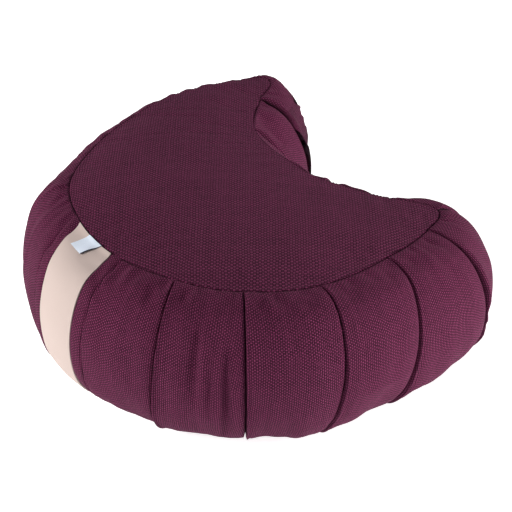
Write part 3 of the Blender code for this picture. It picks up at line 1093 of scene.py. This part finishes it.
def basketWeave():
    # heaped cells of a basket weave: warp and weft on top in turn, with uneven threads
    group = bpy.data.node_groups.new("basketWeave", "ShaderNodeTree")

    def calc(*terms):
        return maths(group, *terms)

    face = group.interface
    face.new_socket("Vector", in_out="INPUT", socket_type="NodeSocketVector")
    for name, value in (("Across", 0.0021), ("Down", 0.0019), ("Unevenness", 0.25)):
        socket = face.new_socket(name, in_out="INPUT", socket_type="NodeSocketFloat")
        socket.default_value = value
    for name in ("Height", "Over", "Thread"):
        face.new_socket(name, in_out="OUTPUT", socket_type="NodeSocketFloat")
    given = group.nodes.new("NodeGroupInput")
    result = group.nodes.new("NodeGroupOutput")
    vector = given.outputs["Vector"]
    drift = noiseNode(group, vector, weaveDrift["scale"])
    driftParts = group.nodes.new("ShaderNodeSeparateColor")
    group.links.new(drift.outputs["Color"], driftParts.inputs[0])
    parts = group.nodes.new("ShaderNodeSeparateXYZ")
    group.links.new(vector, parts.inputs[0])
    cells = []
    for axis, size in enumerate(("Across", "Down")):
        wander = calc("MULTIPLY", calc("SUBTRACT", driftParts.outputs[axis], 0.5),
                      given.outputs["Unevenness"])
        scaled = calc("DIVIDE", parts.outputs[axis], given.outputs[size])
        cells.append(calc("MULTIPLY_ADD", wander, weaveDrift["reach"], scaled))
    arches = [calc("SINE", calc("MULTIPLY", calc("FRACT", c), math.pi)) for c in cells]
    column, line = (calc("FLOOR", c) for c in cells)
    parity = calc("FRACT", calc("MULTIPLY", calc("ADD", column, line), 0.5))
    parity = calc("MULTIPLY", parity, 2.0)
    heights = []
    for own, other in (arches, arches[::-1]):
        crest = calc("MULTIPLY_ADD", other, 0.5, 0.5)
        heights.append(calc("MULTIPLY", calc("POWER", own, 0.7), crest))
    step = calc("SUBTRACT", heights[1], heights[0])
    height = calc("MULTIPLY_ADD", step, parity, heights[0])
    threads = []
    for index, seed in ((column, 0.37), (line, 31.7)):
        white = group.nodes.new("ShaderNodeTexWhiteNoise")
        white.noise_dimensions = "1D"
        group.links.new(calc("ADD", index, seed), white.inputs["W"])
        threads.append(white.outputs["Value"])
    other = calc("SUBTRACT", threads[1], threads[0])
    tone = calc("MULTIPLY_ADD", other, parity, threads[0])
    cell = group.nodes.new("ShaderNodeCombineXYZ")
    group.links.new(column, cell.inputs[0])
    group.links.new(line, cell.inputs[1])
    single = group.nodes.new("ShaderNodeTexWhiteNoise")
    single.noise_dimensions = "2D"
    group.links.new(cell.outputs[0], single.inputs["Vector"])
    tone = calc("MULTIPLY", calc("ADD", tone, single.outputs["Value"]), 0.5)
    for name, value in (("Height", height), ("Over", parity), ("Thread", tone)):
        group.links.new(value, result.inputs[name])
    return group


weaveGroup = basketWeave()

canvas = {
    "light": (0.262, 0.0422, 0.126, 1),      # the crowns of the threads
    "dark": (0.010, 0.0018, 0.0064, 1),      # the gaps between them, painted shade
    "contrast": 1.9,           # how narrow the light crowns are
    "overTone": 1.0,           # painted light: how much lighter the warp's cells are
    "threadTone": 0.60,        # how uneven the threads' colours are
    "slubTone": 0.16,          # how uneven the yarn is along its length
    "slubScale": 130.0,
    "patchTone": 0.10,         # how uneven the dye is
    "patchScale": 16.0,
    "bump": 0.9,
    "relief": 0.0010,
    "roughness": 0.9,
    "roughSpread": 0.08,       # how much smoother the crowns are than the gaps
    "specular": 0.12,
    "sheen": 0.06,
    "sheenTint": (1.0, 0.36, 0.64, 1),
    "sheenRoughness": 0.35,
}


def wovenMaterial(name, across, down, unevenness, values, pleatShading=0.0):
    made = bpy.data.materials.new(name)
    made.use_nodes = True
    tree = made.node_tree

    def calc(*terms):
        return maths(tree, *terms)

    def varied(value, spread):
        # a factor that goes from half the spread below 1 to half of it above
        return calc("MULTIPLY_ADD", value, spread, 1 - spread / 2)

    shader = tree.nodes["Principled BSDF"]
    clothMap = tree.nodes.new("ShaderNodeUVMap")
    clothMap.uv_map = "cloth"
    vector = clothMap.outputs[0]
    weave = tree.nodes.new("ShaderNodeGroup")
    weave.node_tree = weaveGroup
    tree.links.new(vector, weave.inputs["Vector"])
    setInputs(weave, {"Across": across * mm, "Down": down * mm, "Unevenness": unevenness})
    # light on the threads, painted shade between them, one kind of cell painted lighter as if it
    # caught more light, and each thread a little different
    over = varied(weave.outputs["Over"], -values["overTone"])
    own = varied(weave.outputs["Thread"], values["threadTone"])
    place = tree.nodes.new("ShaderNodeTexCoord").outputs["Object"]
    patch = noiseNode(tree, place, values["patchScale"], 3.0)
    slub = noiseNode(tree, vector, values["slubScale"])
    dye = calc("MULTIPLY", varied(patch.outputs["Fac"], values["patchTone"] * 2),
               varied(slub.outputs["Fac"], values["slubTone"] * 2))
    crown = calc("POWER", weave.outputs["Height"], values["contrast"])
    tone = calc("MULTIPLY", calc("MULTIPLY", crown, over), calc("MULTIPLY", own, dye))
    if pleatShading:
        # painted shade: the colour goes dark where the cloth is folded deep into a pleat and no
        # light reaches
        pleatShade = tree.nodes.new("ShaderNodeAttribute")
        pleatShade.attribute_name = "pleatShade"
        tone = calc("MULTIPLY", tone, calc("MULTIPLY_ADD", pleatShade.outputs["Fac"], -pleatShading, 1.0))
    bump = tree.nodes.new("ShaderNodeBump")
    setInputs(bump, {"Strength": values["bump"], "Distance": values["relief"]})
    tree.links.new(weave.outputs["Height"], bump.inputs["Height"])
    rough = calc("MULTIPLY_ADD", weave.outputs["Height"], -values["roughSpread"],
                 values["roughness"] + values["roughSpread"] / 2)
    for name, value in (("Base Color", mixColour(tree, tone, values["dark"], values["light"])),
                        ("Normal", bump.outputs[0]), ("Roughness", rough)):
        tree.links.new(value, shader.inputs[name])
    setInputs(shader, {"Specular IOR Level": values["specular"], "Sheen Weight": values["sheen"],
                       "Sheen Tint": values["sheenTint"],
                       "Sheen Roughness": values["sheenRoughness"]})
    return made


# the same canvas for the top panel with darker thread crowns: painted shade that keeps the top
# darker than the band
canvasTopShaded = dict(canvas, light=(0.207, 0.0332, 0.100, 1), contrast=1.5, threadTone=0.75)
twill = dict(canvas, light=(0.563, 0.469, 0.431, 1), dark=(0.52, 0.427, 0.389, 1), contrast=1,
             overTone=0.01, threadTone=0.02, slubTone=0.02, patchTone=0.02, bump=0.2,
             relief=0.0002, roughness=0.8, sheen=0.03, sheenTint=(1, 1, 1, 1))
ribbon = dict(twill, light=(0.74, 0.83, 0.94, 1), dark=(0.62, 0.70, 0.80, 1), threadTone=0.04,
              bump=0.3)
ribbonBack = dict(ribbon, light=(0.020, 0.032, 0.075, 1), dark=(0.012, 0.020, 0.050, 1))
sewingThread = dict(canvas, light=(0.060, 0.0110, 0.034, 1))


def finish(piece, material, replaced=()):
    if material:
        piece.data.materials.append(material)
    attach(piece, "root")
    if replaced:
        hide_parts(*replaced)


addCamera()
addStudio()

# the band's colour is painted darker inside its pleats, as shade
plumBand = wovenMaterial("plumBand", 1.85, 1.33, 0.30, canvas, pleatShading=1.0)
plumTopShaded = wovenMaterial("plumTopShaded", 1.77, 2.32, 0.28, canvasTopShaded)
plumBase = wovenMaterial("plumBase", 1.85, 1.85, 0.2, canvas)
creamTwill = wovenMaterial("creamTwill", 0.5, 0.5, 0.1, twill)
whiteRibbon = wovenMaterial("whiteRibbon", 0.45, 0.8, 0.05, ribbon)
navyRibbon = wovenMaterial("navyRibbon", 0.45, 0.8, 0.05, ribbonBack)
plumThread = wovenMaterial("plumThread", 0.4, 0.4, 0.1, sewingThread)

swellingFields = bandSwelling()
bandPlaces, bandDown, bandPoints, bandOwner, bandPleatShade = buildBand()
pleatedBand = buildPleatedBand(bandPlaces, bandPoints, bandPleatShade)
finish(pleatedBand, plumBand, ["pleated_band_and_fill"])
print("band:", len(pleatedBand.data.polygons), "faces")

topPanel = buildTopPanel()
finish(topPanel, plumTopShaded, ["top_panel"])
print("top panel:", len(topPanel.data.polygons), "faces")

basePiece = buildBasePanel()
finish(basePiece, plumBase, ["base_panel"])
print("base panel:", len(basePiece.data.polygons), "faces")

stripPiece = buildStrip()
finish(stripPiece, creamTwill, ["inset_strip"])

tagPiece = buildTag()
finish(tagPiece, None, ["folded_tag"])

stitchModel = modelStitch()
for stitches in (buildHemStitches(), buildSeamStitches()):
    finish(stitches, plumThread)
print("strip, tag and stitches made")
